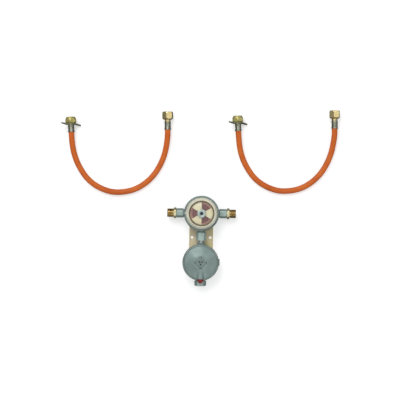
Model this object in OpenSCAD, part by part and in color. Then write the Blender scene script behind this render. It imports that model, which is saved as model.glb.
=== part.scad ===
// Two-cylinder gas changeover regulator on a wall bracket, with two flexible
// connecting hoses, laid out on a flat surface. Millimetres, +Z up, origin on
// the bracket's back face, midway between its two wall holes.

/* [Regulator] */
// Distance between the changeover head's centre and the second stage's centre
stage_pitch = 112; // [111.5:0.5:114]
// Outside diameter of the male inlet threads
inlet_thread_d = 20; // [19:0.5:21]
// Across-flats size of the hexagon on the outlet
outlet_af = 24; // [23:0.5:25]
// Bore of the outlet's female thread
outlet_bore_d = 15; // [13:0.5:16]
// Turn of the selector's window blades between two windows
blade_angle = 60; // [50:1:70]

/* [Bracket] */
// Width of the wall bracket
bracket_w = 55; // [54:0.5:58]
// Length of the wall bracket
bracket_l = 158; // [150:1:160]
// Distance between the two wall holes
wall_hole_pitch = 42.6; // [41:0.2:43]
// Diameter of the wall holes
wall_hole_d = 6.5; // [5:0.5:7]

/* [Hoses] */
// Outside diameter of the hose
hose_od = 13; // [12:0.5:14]
// Across-flats size of the cylinder-end nut
cylinder_nut_af = 24; // [24:0.5:25.5]
// Across-flats size of the regulator-end nut
regulator_nut_af = 23; // [23:0.5:24]
// Tip-to-tip span of the hand wings
wing_span = 48; // [46:0.2:51]
// Thickness of the hand wings
wing_t = 2.6; // [2:0.2:2.6]

/* [Hidden] */

$fn = 72;
axis_z = 20;          // height of every gas passage in the regulator
bracket_t = 2.5;
pivot_x = 14.5;       // lever pivot, from the stage's centre
pivot_z = 11;
vent_z = 43.9;        // height of the second stage's vent
union_end = stage_pitch - 33.4;

// Where each hose lies, its plan origin, and how its ends stand
left_at = [-191.7, 226.4, 0];
right_at = [192.2, 236.2, 0];
lay_turn = 1.1;
cylinder_end = [-111, 13, 14];
cylinder_lean = 3;
regulator_end = [110.5, 18.5, 13.2];
wing_roll = 25;
wing_bend = 15;       // one wing leans to the mouth, the other to the hose
nut_roll = 20;

// Centre line of a hose from its cylinder end to its regulator end
route = [
  [-111, 13, 14], [-110.3, 0, 13.8], [-109, -14, 12.6], [-107, -28, 10.8],
  [-103.5, -42, 8.6], [-98.5, -56, 7.2], [-92, -69, 6.6], [-84, -82, 6.5],
  [-74.5, -94, 6.5], [-63, -104.5, 6.5], [-50, -113, 6.5], [-36, -119.5, 6.5],
  [-21, -124, 6.5], [-5.5, -125.5, 6.5], [10, -124.5, 6.5], [25.5, -121.5, 6.5],
  [40, -116, 6.5], [54, -108, 6.5], [66.5, -98, 6.5], [77.5, -86.5, 6.5],
  [86.5, -74, 6.5], [94, -60.5, 6.6], [100, -46.5, 7.1], [104.5, -32, 8.3],
  [107.5, -17.5, 10], [109.5, -4, 11.8], [110.4, 8, 13], [110.5, 18.5, 13.2]
];

// ---------- helpers ----------
module lathe(points) { rotate_extrude($fn = 96) polygon(points); }
module along_x() { rotate([0, 90, 0]) children(); }
module along_y() { rotate([-90, 0, 0]) children(); }
module against_y() { rotate([90, 0, 0]) children(); }
module at_head() { translate([0, stage_pitch / 2, 0]) children(); }
module at_second() { translate([0, -stage_pitch / 2, 0]) children(); }
module both_ways() { for (a = [0, 180]) rotate([0, 0, a]) children(); }

// A hexagon from u0 to u1 with both ends turned to 30 degrees, and an optional
// rounded nose at u1, or a steeper turned back at u0 down to the radius back
module turned_hex(af, u0, u1, roll = 0, nose = 0, back = 0) {
  rc = af / sqrt(3) + 0.3;
  re = af * 0.47;
  c = (rc - re) * 0.577;
  rb = back > 0 ? back : re;
  cb = back > 0 ? (rc - back) * 0.8 : c;
  intersection() {
    translate([0, 0, u0]) rotate([0, 0, roll])
      cylinder(r = af / sqrt(3), h = u1 - u0, $fn = 6);
    lathe(concat([[0, u0], [rb, u0], [rc, u0 + cb]],
      nose > 0
        ? [[rc, u1 - nose], [rc - 0.09 * nose, u1 - 0.8 * nose],
           [rc - 0.2 * nose, u1 - 0.5 * nose], [rc - 0.29 * nose, u1 - 0.25 * nose],
           [rc - 0.36 * nose, u1 - 0.1 * nose], [rc - 0.43 * nose, u1]]
        : [[rc, u1 - c], [re, u1]],
      [[0, u1]]));
  }
}

// A plate standing in the XZ plane, from y0 to y1
module upright(y0, y1) {
  translate([0, y1, 0]) rotate([90, 0, 0]) linear_extrude(y1 - y0) children();
}

// A wire coil
module coil(r, wire, z0, z1, turns) {
  n = 14;
  m = 6;
  steps = n * turns;
  lo = z0 + wire;
  hi = z1 - wire;
  pts = [for (i = [0:steps]) let (
      a = 360 * i / n, z = lo + (hi - lo) * i / steps,
      rise = atan((hi - lo) / turns / (2 * PI * r)))
    for (j = [0:m - 1]) let (
        b = 360 * j / m, out = r + wire * cos(b), up = wire * sin(b))
      [out * cos(a) + up * sin(rise) * sin(a),
       out * sin(a) - up * sin(rise) * cos(a),
       z + up * cos(rise)]];
  sides = [for (i = [0:steps - 1]) for (j = [0:m - 1]) let (k = (j + 1) % m)
    [i * m + j, i * m + k, (i + 1) * m + k, (i + 1) * m + j]];
  first = [for (j = [m - 1:-1:0]) j];
  last = [for (j = [0:m - 1]) steps * m + j];
  polyhedron(points = pts, faces = [for (f = concat([first], sides, [last]))
    [for (q = [len(f) - 1:-1:0]) f[q]]], convexity = 8);
}

function unit(v) = v / norm(v);

// A round tube's outside, swept along a list of points
module swept(path, r, sides, first_dir, last_dir) {
  n = len(path);
  dirs = [for (i = [0:n - 1])
    i == 0 ? first_dir : i == n - 1 ? last_dir
      : unit(unit(path[i + 1] - path[i]) + unit(path[i] - path[i - 1]))];
  pts = [for (i = [0:n - 1]) let (
      side = unit(cross(dirs[i], [0, 0, 1])), up = cross(side, dirs[i]))
    for (j = [0:sides - 1]) let (a = 360 * j / sides)
      path[i] + r * (sin(a) * side + cos(a) * up)];
  walls = [for (i = [0:n - 2]) for (j = [0:sides - 1]) let (k = (j + 1) % sides)
    [i * sides + j, i * sides + k, (i + 1) * sides + k, (i + 1) * sides + j]];
  polyhedron(points = pts, faces = concat(
    [[for (j = [sides - 1:-1:0]) j]], walls,
    [[for (j = [0:sides - 1]) (n - 1) * sides + j]]), convexity = 6);
}

// ---------- bracket ----------
module rounded_plate(w, l, r) {
  union() {
    square([w - 2 * r, l], center = true);
    square([w, l - 2 * r], center = true);
    for (x = [-1, 1], y = [-1, 1])
      translate([x * (w / 2 - r), y * (l / 2 - r)]) circle(r);
  }
}

module body_screw_places() {
  at_head() for (y = [-18, 18]) translate([0, y, 0]) children();
  at_second() for (x = [-18, 18]) translate([x, 0, 0]) children();
}

module bracket() {
  color([0.79, 0.72, 0.55]) difference() {
    linear_extrude(bracket_t) rounded_plate(bracket_w, bracket_l, 7);
    for (x = [-1, 1]) translate([x * wall_hole_pitch / 2, 0, -1])
      cylinder(d = wall_hole_d, h = bracket_t + 2);
    body_screw_places() {
      translate([0, 0, -1]) cylinder(r = 2.7, h = bracket_t + 2);
      translate([0, 0, -0.01]) cylinder(r1 = 4.8, r2 = 2.7, h = 2.2);
    }
  }
}

module bracket_screws() {
  color([0.75, 0.76, 0.77]) body_screw_places() difference() {
    lathe([[0, 0.05], [4.6, 0.05], [2.5, 2.2], [2.5, 8.6], [0, 8.6]]);
    for (a = [0, 90]) rotate([0, 0, a]) translate([-2, -0.45, -0.5]) cube([4, 0.9, 1.9]);
  }
}

// ---------- valve work shared by both stages ----------
module valve_seat_sleeve() {
  translate([17, 0, axis_z]) along_x()
    lathe([[1.4, 16], [5.9, 16], [5.9, 0], [4.08, 0], [4.08, 10.2],
           [2.2, 10.2], [2.2, 9.5], [1.4, 9.5]]);
}

module cage() {
  color([0.80, 0.62, 0.28]) difference() {
    valve_seat_sleeve();
    translate([20.6, 0, axis_z]) {
      cube([3.6, 14, 4], center = true);
      cube([3.6, 4, 14], center = true);
    }
  }
}

module valve() {
  color([0.24, 0.24, 0.25]) translate([16, 0, axis_z]) along_x()
    lathe([[0, 0], [3.4, 0], [4, 0.6], [4, 9.3], [3.5, 9.9], [0, 9.9]]);
}

module lever() {
  color([0.70, 0.71, 0.72]) difference() {
    union() {
      upright(-2.4, 4.6) union() {
        translate([pivot_x, pivot_z]) circle(3);
        polygon([[13.2, 11], [13.6, 21], [15.2, 21], [15.8, 11]]);
        translate([15, 20]) circle(0.9);
      }
      upright(1.6, 4.6) polygon([[-4, 21.3], [5.6, 21.3], [12.4, 12.4],
        [14.6, 13.9], [6.6, 23.3], [-4, 23.3]]);
    }
    translate([pivot_x, -6, pivot_z]) along_y() cylinder(r = 1.05, h = 14);
  }
}

module pin() {
  color([0.80, 0.81, 0.82]) translate([pivot_x, -5, pivot_z]) along_y()
    cylinder(r = 0.98, h = 12.2);
}

module pivot_ears() {
  for (y = [-5, 5.2]) translate([12, y, 6.5]) cube([5, 2, 7.7]);
}

module pivot_bore() {
  translate([pivot_x, -6, pivot_z]) along_y() cylinder(r = 1, h = 14);
}

module stem_plate() {
  color([0.76, 0.77, 0.78])
    lathe([[0, 19], [4, 19], [4, 20.6], [1.3, 20.6], [1.3, 23.7], [4, 23.7],
           [4, 25], [1.3, 25], [1.3, 34.5], [10, 34.5], [10, 35.95],
           [1.4, 35.95], [1.4, 37.25], [21.5, 37.25], [21.5, 38.4], [0, 38.4]]);
}

module membrane(r_out) {
  color([0.16, 0.16, 0.17])
    lathe([[1.5, 36], [22, 36], [23, 35], [24.5, 34.2], [28, 34.2], [29.8, 35],
           [30.8, 36], [r_out, 36], [r_out, 37.2], [30.2, 37.2], [29, 36.2],
           [27.6, 35.4], [25, 35.4], [23.8, 36.1], [22.8, 37.2], [1.5, 37.2]]);
}

module screw_bosses(places) {
  for (p = places) translate([p[0], p[1], 6.5]) cylinder(r = 5, h = 4.5);
}

module screw_bores(places) {
  for (p = places) translate([p[0], p[1], 2]) cylinder(r = 2.55, h = 7);
}

// ---------- changeover head ----------
module head_body() {
  color([0.50, 0.57, 0.57]) at_head() difference() {
    union() {
      lathe([[0, 2.5], [25, 2.5], [31, 5], [35.5, 11], [37, 18], [37, 31],
             [38.5, 31], [38.5, 36], [31.5, 36], [31.5, 9], [29.5, 7], [0, 7]]);
      both_ways() {
        translate([30, 0, axis_z]) along_x() cylinder(r = 9.3, h = 11);
        translate([25, 0, axis_z]) along_x() cylinder(r = 9, h = 8);
        pivot_ears();
      }
      translate([0, -29, axis_z]) against_y() cylinder(r = 9.3, h = 13.5);
      translate([0, 0, axis_z]) against_y()
        lathe([[0, 40], [8.3, 40], [8.3, 52.2], [7.5, 53], [0, 53]]);
      screw_bosses([[0, 18], [0, -18]]);
    }
    both_ways() {
      translate([24, 0, axis_z]) along_x() cylinder(r = 6, h = 18);
      pivot_bore();
    }
    translate([0, -28, axis_z]) against_y() cylinder(r = 4, h = 26);
    screw_bores([[0, 18], [0, -18]]);
  }
}

module head_bonnet() {
  color([0.55, 0.61, 0.61]) at_head()
    lathe([[30, 37.2], [38.5, 37.2], [38.5, 40.5], [36.3, 40.5], [36.3, 42.6],
           [31.5, 42.6], [31.5, 51.5], [4.05, 51.5], [4.05, 49], [30, 49]]);
}

module head_clamp_ring() {
  color([0.50, 0.57, 0.57]) at_head()
    lathe([[37.05, 29.5], [39.2, 29.5], [40.2, 30.5], [40.2, 40.8], [39.9, 42],
           [39.2, 42.9], [38.2, 43.3], [36.4, 43.3], [36.4, 40.55],
           [38.55, 40.55], [38.55, 30.95], [37.05, 30.95]]);
}

module selector_ring() {
  color([0.90, 0.86, 0.74]) at_head() union() {
    lathe([[31.65, 43.6], [35.8, 43.6], [35.9, 44.8], [33, 55.2], [31.9, 57.2],
           [30.6, 58.1], [29.1, 58.1], [29.1, 53.8], [27, 53.8], [27, 51.8],
           [31.65, 51.8]]);
    translate([0, 2, 0]) rotate([90, 0, 0]) linear_extrude(4)
      polygon([[-34, 43.6], [-38, 43.6], [-38, 45.4], [-34, 50.5]]);
  }
}

module lens_bezel() {
  color([0.42, 0.33, 0.20]) at_head()
    lathe([[27.2, 53.85], [29.05, 53.85], [29.05, 58.2], [28.4, 58.9],
           [27.2, 58.9], [26.4, 58], [26.4, 56.9], [27.2, 56.9]]);
}

module lens() {
  color([0.93, 0.95, 0.95]) at_head()
    lathe([[9.75, 57.9], [9.75, 59.5], [14, 59.4], [19, 58.9], [23, 58.1],
           [26.3, 56.85], [27.1, 56.85], [27.1, 55.1], [25.4, 55.1],
           [25.2, 55.5], [22.4, 56.6], [18.6, 57.4], [14, 57.85]]);
}

module hub_cap() {
  color([0.62, 0.68, 0.69]) at_head()
    lathe([[1.7, 57.05], [9.65, 57.05], [9.65, 59.6], [8.9, 60.4], [6.8, 60.6],
           [6.2, 59.8], [5.6, 60.2], [4.3, 60.2], [4.3, 58], [1.7, 58]]);
}

module hub_screw() {
  color([0.22, 0.25, 0.26]) at_head() difference() {
    lathe([[0, 51], [1.55, 51], [1.55, 58.05], [4.1, 58.05], [4.1, 60],
           [3.7, 60.4], [0, 60.4]]);
    translate([0, 0, 58.9]) cylinder(r = 2.3, h = 3, $fn = 6);
  }
}

module selector_shaft() {
  color([0.72, 0.73, 0.74]) at_head() difference() {
    union() {
      lathe([[0, 46.3], [12, 46.3], [12, 48.4], [4, 48.4], [4, 57], [0, 57]]);
      translate([-9, 0, 46.3]) cylinder(r = 5, h = 2.1);
    }
    translate([0, 0, 50.5]) cylinder(r = 1.6, h = 7);
  }
}

module window(a) {
  rotate([0, 0, a]) intersection() {
    difference() {
      translate([0, 0, 52]) cylinder(r = 25.2, h = 4);
      translate([0, 0, 51]) cylinder(r = 9.8, h = 6);
    }
    h = (120 - blade_angle) / 2;
    translate([0, 0, 51.5]) linear_extrude(5)
      polygon([[0, 0], [60 * cos(h), -60 * sin(h)], [60 * cos(h), 60 * sin(h)]]);
  }
}

module sector_mask() {
  color([0.93, 0.88, 0.74]) at_head() difference() {
    union() {
      translate([0, 0, 53]) cylinder(r = 26.2, h = 1.9);
      translate([0, 0, 51.55]) cylinder(r = 8.1, h = 2);
    }
    translate([0, 0, 51]) cylinder(r = 4.4, h = 5);
    for (a = [60, 180, 300]) window(a);
  }
}

module indicator_disc() {
  color([0.55, 0.16, 0.16]) at_head() translate([0, 0, 51.9]) difference() {
    cylinder(r = 25.8, h = 0.8);
    translate([0, 0, -1]) cylinder(r = 8.4, h = 3);
  }
}

// ---------- inlets ----------
module inlet_adapter() {
  translate([0, 0, axis_z]) along_x() difference() {
    union() {
      turned_hex(19, 41.05, 57.5, 30);
      translate([0, 0, 33.3]) cylinder(r = 5.95, h = 9);
    }
    translate([0, 0, 33]) cylinder(r = 3, h = 20);
    translate([0, 0, 50.2]) cylinder(r = 7.05, h = 9);
  }
}

module inlet_adapters() {
  color([0.58, 0.64, 0.66]) at_head() both_ways() inlet_adapter();
}

module inlet_nipple() {
  r = inlet_thread_d / 2;
  color([0.78, 0.58, 0.24]) translate([0, 0, axis_z]) along_x() difference() {
    union() {
      translate([0, 0, 50.4]) cylinder(r = 7, h = 9);
      turned_hex(22, 57.6, 64.2, 30);
      lathe([[0, 63.4], [r - 1.3, 63.4], [r - 1.3, 65.4], [r, 65.4], [r, 77.6],
             [r - 1, 78.6], [0, 78.6]]);
    }
    translate([0, 0, 50]) cylinder(r = 4, h = 30);
    translate([0, 0, 75.6]) cylinder(r1 = 4, r2 = 6.6, h = 3.01);
  }
}

module inlet_filters() {
  color([0.72, 0.66, 0.52]) at_head() both_ways()
    translate([0, 0, axis_z]) along_x()
      lathe([[0, 60], [3.9, 60], [3.9, 70], [3.2, 70], [3.2, 61], [0, 61]]);
}

// ---------- union between the stages ----------
module union_nut() {
  color([0.56, 0.63, 0.64]) at_head() translate([0, 0, axis_z]) against_y()
    difference() {
      turned_hex(20.8, 43.5, 63);
      translate([0, 0, 43]) cylinder(r = 8.4, h = 16.4);
      translate([0, 0, 58]) cylinder(r = 6.6, h = 6);
    }
}

module union_seal() {
  color([0.15, 0.15, 0.16]) at_head() translate([0, 0, axis_z]) against_y()
    lathe([[4.2, 53.1], [8, 53.1], [8, 55], [4.2, 55]]);
}

module union_tail() {
  color([0.74, 0.77, 0.78]) at_head() translate([0, 0, axis_z]) against_y()
    lathe([[3.5, 55.1], [8.3, 55.1], [8.3, 59.3], [6.5, 59.3],
           [6.5, union_end], [3.5, union_end]]);
}

// ---------- second stage ----------
module second_body() {
  color([0.47, 0.54, 0.54]) at_second() difference() {
    union() {
      lathe([[0, 2.5], [24, 2.5], [31, 5], [36, 11], [37.8, 18], [37.8, 31],
             [39.5, 31], [39.5, 36], [33, 36], [33, 9], [31, 7], [0, 7]]);
      translate([0, 30, axis_z]) along_y() cylinder(r = 9.3, h = 15);
      translate([0, 25, axis_z]) along_y() cylinder(r = 9, h = 9);
      rotate([0, 0, 90]) pivot_ears();
      translate([0, -31, axis_z]) against_y() cylinder(r = 9.3, h = 10.6);
      translate([31, 0, 16]) along_x() cylinder(r = 8, h = 7.5);
      screw_bosses([[18, 0], [-18, 0]]);
    }
    translate([0, 24, axis_z]) along_y() cylinder(r = 6, h = 10);
    translate([0, 33.2, axis_z]) along_y() cylinder(r = 6.55, h = 12);
    rotate([0, 0, 90]) pivot_bore();
    translate([0, -30, axis_z]) against_y() cylinder(r = 5, h = 6);
    translate([0, -34.5, axis_z]) against_y() cylinder(r = 7.05, h = 8);
    translate([30, 0, 16]) along_x() cylinder(r = 3, h = 6);
    translate([33.8, 0, 16]) along_x() cylinder(r = 5.05, h = 6);
    screw_bores([[18, 0], [-18, 0]]);
  }
}

module second_cover() {
  color([0.53, 0.60, 0.60]) at_second() difference() {
    union() {
      lathe([[33, 37.2], [39.5, 37.2], [39.5, 40.5], [37.3, 40.5], [37.3, 42],
             [17.2, 51.6], [16, 52.4], [9.05, 52.4], [9.05, 44], [11.5, 44],
             [11.5, 49.8], [15, 49.8], [33, 41.2]]);
      intersection() {
        translate([0, -15.7, vent_z]) against_y() cylinder(r = 7.6, h = 21.8);
        translate([-10, -40, 40.9]) cube([20, 38, 20]);
      }
    }
    translate([0, -29, vent_z]) against_y() cylinder(r = 5.65, h = 12);
    translate([0, -37.5, vent_z]) against_y() cylinder(r = 6.6, h = 6);
    translate([0, -13, vent_z]) against_y() cylinder(r = 1.5, h = 17);
    for (i = [0:3]) rotate([0, 0, 90 * i]) translate([13, 0, 52.1])
      intersection() {
        difference() {
          translate([-13, 0, 0]) cylinder(r = 13.7, h = 1);
          translate([-13, 0, -1]) cylinder(r = 12.3, h = 3);
        }
        translate([-3, -3.6, -0.5]) cube([6, 7.2, 2]);
      }
  }
}

module second_clamp_ring() {
  color([0.44, 0.51, 0.51]) at_second() difference() {
    lathe([[37.9, 29.5], [40.4, 29.5], [41.5, 30.5], [41.5, 40.8], [41.1, 41.9],
           [40.2, 42.6], [38.8, 42.9], [37.45, 42.8], [37.45, 40.55],
           [39.55, 40.55], [39.55, 30.95], [37.9, 30.95]]);
    translate([-8, -46, 37.1]) cube([16, 16, 10]);
  }
}

module pressure_adjuster() {
  color([0.24, 0.26, 0.26]) at_second() difference() {
    translate([0, 0, 47.8]) cylinder(r = 9, h = 2.5);
    translate([0, 0, 48.6]) cylinder(r = 4.6, h = 3, $fn = 6);
  }
}

module adjuster_cap() {
  color([0.56, 0.62, 0.63]) at_second() difference() {
    lathe([[0, 50.5], [8.9, 50.5], [8.9, 52.45], [11, 52.45], [11, 53.1],
           [10.4, 53.5], [0, 53.5]]);
    for (a = [0, 120, 240]) rotate([0, 0, a + 30]) translate([3.5, 0, 50])
      cylinder(r = 1.7, h = 5);
  }
}

module outlet_fitting() {
  color([0.55, 0.60, 0.61]) at_second() translate([0, 0, axis_z]) against_y()
    difference() {
      union() {
        translate([0, 0, 34.6]) cylinder(r = 7, h = 8);
        turned_hex(outlet_af, 41.8, 54.4);
      }
      translate([0, 0, 34]) cylinder(r = 5, h = 10);
      translate([0, 0, 43.6]) cylinder(d = outlet_bore_d, h = 12);
      translate([0, 0, 53.6]) cylinder(d1 = outlet_bore_d, d2 = outlet_bore_d + 1.7, h = 0.81);
    }
}

module port_plug() {
  color([0.46, 0.50, 0.50]) at_second() translate([0, 0, 16]) along_x()
    union() {
      turned_hex(14, 38.6, 43.4, 30);
      translate([0, 0, 34]) cylinder(r = 5, h = 6);
    }
}

module vent_plug() {
  color([0.66, 0.12, 0.12]) at_second() translate([0, 0, vent_z]) against_y()
    lathe([[0, 30], [5.2, 30], [5.6, 30.6], [5.6, 37.6], [6.5, 37.6],
           [6.5, 42.6], [2.4, 46.8], [0, 46.8]]);
}

// ---------- hose ends, drawn along +Z from the ferrule's hose side ----------
module at_cylinder_end() {
  translate(cylinder_end) rotate([0, 0, cylinder_lean]) along_y() children();
}

module at_regulator_end() {
  translate(regulator_end) along_y() children();
}

module ferrule(len) {
  g = (len - 6) / 3;
  lathe([[3.15, 0], [8.2, 0], [8.2, 1], [7.2, 2.4], [7.2, 1.8 + g],
         [6.7, 2.3 + g], [6.7, 3.3 + g], [7.2, 3.8 + g], [7.2, 2.3 + 2 * g],
         [6.7, 2.8 + 2 * g], [6.7, 3.8 + 2 * g], [7.2, 4.3 + 2 * g],
         [7.2, len - 1], [6.6, len], [5.05, len], [5.05, len - 4],
         [3.15, len - 4]]);
}

module ferrules() {
  color([0.78, 0.79, 0.78]) {
    at_cylinder_end() ferrule(16);
    at_regulator_end() ferrule(17.5);
  }
}

module tails() {
  at_cylinder_end() color([0.76, 0.76, 0.70])
    lathe([[2.4, 0.2], [3.1, 0.2], [3.1, 12.1], [5, 12.1], [5, 16.2], [6, 16.2],
           [6, 23], [8.8, 23], [8.8, 25.2], [2.4, 25.2]]);
  at_regulator_end() color([0.78, 0.60, 0.28]) difference() {
    union() {
      lathe([[0, 0.2], [3.1, 0.2], [3.1, 13.6], [5, 13.6], [5, 18], [5.5, 18],
             [5.5, 28.6], [8.9, 28.6], [8.9, 30.4], [0, 30.4]]);
      turned_hex(12, 17.7, 22.6);
    }
    cylinder(r = 2.4, h = 40);
  }
}

module seals() {
  color([0.14, 0.14, 0.15]) {
    at_cylinder_end() lathe([[3.2, 25.3], [8.7, 25.3], [8.7, 26.3], [3.2, 26.3]]);
    at_regulator_end() lathe([[3.2, 30.5], [8.7, 30.5], [8.7, 31.8], [3.2, 31.8]]);
  }
}

module cylinder_nut() {
  color([0.62, 0.58, 0.30]) at_cylinder_end() difference() {
    union() {
      turned_hex(cylinder_nut_af, 19.8, 34.6, 30, 10, 10);
      translate([0, 0, 16.8]) cylinder(r = 8, h = 4);
    }
    translate([0, 0, 16]) cylinder(r = 6.15, h = 8);
    translate([0, 0, 22.9]) cylinder(r = 9.6, h = 3.6);
    translate([0, 0, 26.4]) cylinder(r = 9.1, h = 9);
    translate([0, 0, 34]) cylinder(r1 = 9.1, r2 = 9.7, h = 0.61);
  }
}

// One wing, hinged up or down from where it leaves the plate's ring
module wing(bend) {
  reach = wing_span / 2 - 9;
  translate([9, 0, 0]) rotate([0, -bend, 0]) union() {
    translate([reach - 5, 0, 0]) cylinder(r = 5, h = wing_t);
    linear_extrude(wing_t) polygon([[0, 6.3], [reach - 5, 5],
      [reach - 5, -5], [0, -6.3]]);
  }
}

module hand_wings() {
  color([0.47, 0.48, 0.38]) at_cylinder_end() rotate([0, 0, wing_roll])
    translate([0, 0, 16.8]) difference() {
      union() {
        cylinder(r = 11, h = wing_t);
        wing(-wing_bend);
        rotate([0, 0, 180]) wing(wing_bend);
      }
      translate([0, 0, -3]) cylinder(r = 8.05, h = 8);
    }
}

module regulator_nut() {
  color([0.83, 0.69, 0.40]) at_regulator_end() difference() {
    turned_hex(regulator_nut_af, 23, 41, nut_roll, 5, 9.6);
    translate([0, 0, 22]) cylinder(r = 5.6, h = 8);
    translate([0, 0, 28.5]) cylinder(r = 9.6, h = 3.6);
    translate([0, 0, 32]) cylinder(r = 9.2, h = 10);
    translate([0, 0, 40.2]) cylinder(r1 = 9.2, r2 = 10.1, h = 0.81);
  }
}

module hose() {
  color([0.88, 0.39, 0.14])
    swept(route, hose_od / 2, 12,
      [sin(cylinder_lean), -cos(cylinder_lean), 0], [0, 1, 0]);
}

module lay(at) { translate(at) rotate([0, 0, lay_turn]) children(); }

// ---------- every node ----------
bracket();
bracket_screws();
head_body();
head_bonnet();
head_clamp_ring();
at_head() membrane(38.3);  // head_diaphragm
at_head() stem_plate();  // head_plate
color([0.6, 0.6, 0.62]) at_head() coil(8.8, 0.8, 38.5, 46.2, 4);  // head_spring
selector_ring();
lens_bezel();
lens();
hub_cap();
hub_screw();
selector_shaft();
sector_mask();
indicator_disc();
at_head() both_ways() cage();  // valve_cages
at_head() rotate([0, 0, 180]) valve();  // valve_left
at_head() valve();  // valve_right
at_head() rotate([0, 0, 180]) lever();  // lever_left
at_head() lever();  // lever_right
at_head() both_ways() pin();  // lever_pins
inlet_adapters();
at_head() rotate([0, 0, 180]) inlet_nipple();  // inlet_nipple_left
at_head() inlet_nipple();  // inlet_nipple_right
inlet_filters();
union_nut();
union_seal();
union_tail();
second_body();
second_cover();
second_clamp_ring();
at_second() membrane(39.3);  // second_diaphragm
at_second() stem_plate();  // second_plate
color([0.6, 0.6, 0.62]) at_second() coil(7.4, 0.8, 38.5, 47.7, 5);  // second_spring
pressure_adjuster();
adjuster_cap();
at_second() rotate([0, 0, 90]) cage();  // second_cage
at_second() rotate([0, 0, 90]) valve();  // second_valve
at_second() rotate([0, 0, 90]) lever();  // second_lever
at_second() rotate([0, 0, 90]) pin();  // second_lever_pin
outlet_fitting();
port_plug();
vent_plug();
lay(left_at) hose();  // left_hose
lay(left_at) ferrules();  // left_ferrules
lay(left_at) tails();  // left_tails
lay(left_at) seals();  // left_seals
lay(left_at) cylinder_nut();  // left_cylinder_nut
lay(left_at) hand_wings();  // left_hand_wings
lay(left_at) regulator_nut();  // left_regulator_nut
lay(right_at) hose();  // right_hose
lay(right_at) ferrules();  // right_ferrules
lay(right_at) tails();  // right_tails
lay(right_at) seals();  // right_seals
lay(right_at) cylinder_nut();  // right_cylinder_nut
lay(right_at) hand_wings();  // right_hand_wings
lay(right_at) regulator_nut();  // right_regulator_nut
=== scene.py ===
# Looks of a gas changeover regulator and its two connecting hoses, built round
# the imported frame. Lengths in the tables below are millimetres.
import math
import bmesh
import bpy
import numpy as np
from mathutils import Matrix, Vector


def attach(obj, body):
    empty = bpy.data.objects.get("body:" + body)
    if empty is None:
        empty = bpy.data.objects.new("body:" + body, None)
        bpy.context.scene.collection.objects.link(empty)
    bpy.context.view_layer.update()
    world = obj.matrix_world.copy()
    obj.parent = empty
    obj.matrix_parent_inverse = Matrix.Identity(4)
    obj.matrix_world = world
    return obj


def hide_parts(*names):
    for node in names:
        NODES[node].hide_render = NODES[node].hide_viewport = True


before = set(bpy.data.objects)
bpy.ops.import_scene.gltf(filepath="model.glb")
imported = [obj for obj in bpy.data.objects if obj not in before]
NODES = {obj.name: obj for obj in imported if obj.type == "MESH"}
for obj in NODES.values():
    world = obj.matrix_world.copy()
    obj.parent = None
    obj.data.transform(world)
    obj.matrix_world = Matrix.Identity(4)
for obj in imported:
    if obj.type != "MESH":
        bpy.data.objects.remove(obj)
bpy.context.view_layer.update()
MM = 0.001

# ------------------------------------------------------------------ camera
FIELD = 0.920          # metres across the picture, at the hoses' height
HEIGHT = 2.60          # camera above that plane
PLANE = 0.014
cam_data = bpy.data.cameras.new("camera")
cam_data.sensor_width = 36.0
cam_data.lens = 36.0 * HEIGHT / FIELD
cam_data.clip_start, cam_data.clip_end = 0.05, 20.0
cam = bpy.data.objects.new("camera", cam_data)
cam.location = (-0.0042, 0.0864, PLANE + HEIGHT)
cam.rotation_euler = (0.0, 0.0, math.radians(1.1))
bpy.context.scene.collection.objects.link(cam)
bpy.context.scene.camera = cam

# ------------------------------------------------------------ mesh helpers
def mesh_object(name, verts, faces, smooth=True, angle=38.0):
    me = bpy.data.meshes.new(name)
    me.from_pydata([tuple(v) for v in np.asarray(verts, float) * MM], [], faces)
    me.validate()
    ob = bpy.data.objects.new(name, me)
    bpy.context.scene.collection.objects.link(ob)
    tidy(ob, smooth, angle)
    return ob


def tidy(ob, smooth=True, angle=38.0, merge=2e-6):
    bm = bmesh.new()
    bm.from_mesh(ob.data)
    bmesh.ops.remove_doubles(bm, verts=bm.verts, dist=merge)
    bmesh.ops.dissolve_degenerate(bm, dist=1e-7, edges=bm.edges)
    bmesh.ops.recalc_face_normals(bm, faces=bm.faces)
    limit = math.radians(angle)
    for f in bm.faces:
        f.smooth = smooth
    for e in bm.edges:
        e.smooth = not (len(e.link_faces) == 2 and e.calc_face_angle(0.0) > limit)
    bm.to_mesh(ob.data)
    bm.free()
    ob.data.update()


def fillet(points, default=0.0, steps=4):
    """Rounds the corners of a closed profile; a point is (r, z) or (r, z, radius)."""
    out = []
    n = len(points)
    for i in range(n):
        p = np.array(points[i][:2], float)
        rad = points[i][2] if len(points[i]) > 2 else default
        a = np.array(points[i - 1][:2], float)
        b = np.array(points[(i + 1) % n][:2], float)
        u, v = a - p, b - p
        lu, lv = np.linalg.norm(u), np.linalg.norm(v)
        if rad <= 0 or lu < 1e-9 or lv < 1e-9 or p[0] < 1e-6:
            out.append(tuple(p))
            continue
        u, v = u / lu, v / lv
        half = 0.5 * math.acos(max(-1.0, min(1.0, float(u @ v))))
        if half > math.radians(87):
            out.append(tuple(p))
            continue
        cut = min(rad / math.tan(half), 0.45 * lu, 0.45 * lv)
        r = cut * math.tan(half)
        c = p + (u + v) / np.linalg.norm(u + v) * (r / math.sin(half))
        s, e = p + u * cut, p + v * cut
        a0 = math.atan2(*(s - c)[::-1])
        a1 = math.atan2(*(e - c)[::-1])
        d = (a1 - a0 + math.pi) % (2 * math.pi) - math.pi
        for k in range(steps + 1):
            t = a0 + d * k / steps
            out.append((c[0] + r * math.cos(t), c[1] + r * math.sin(t)))
    return out


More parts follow.
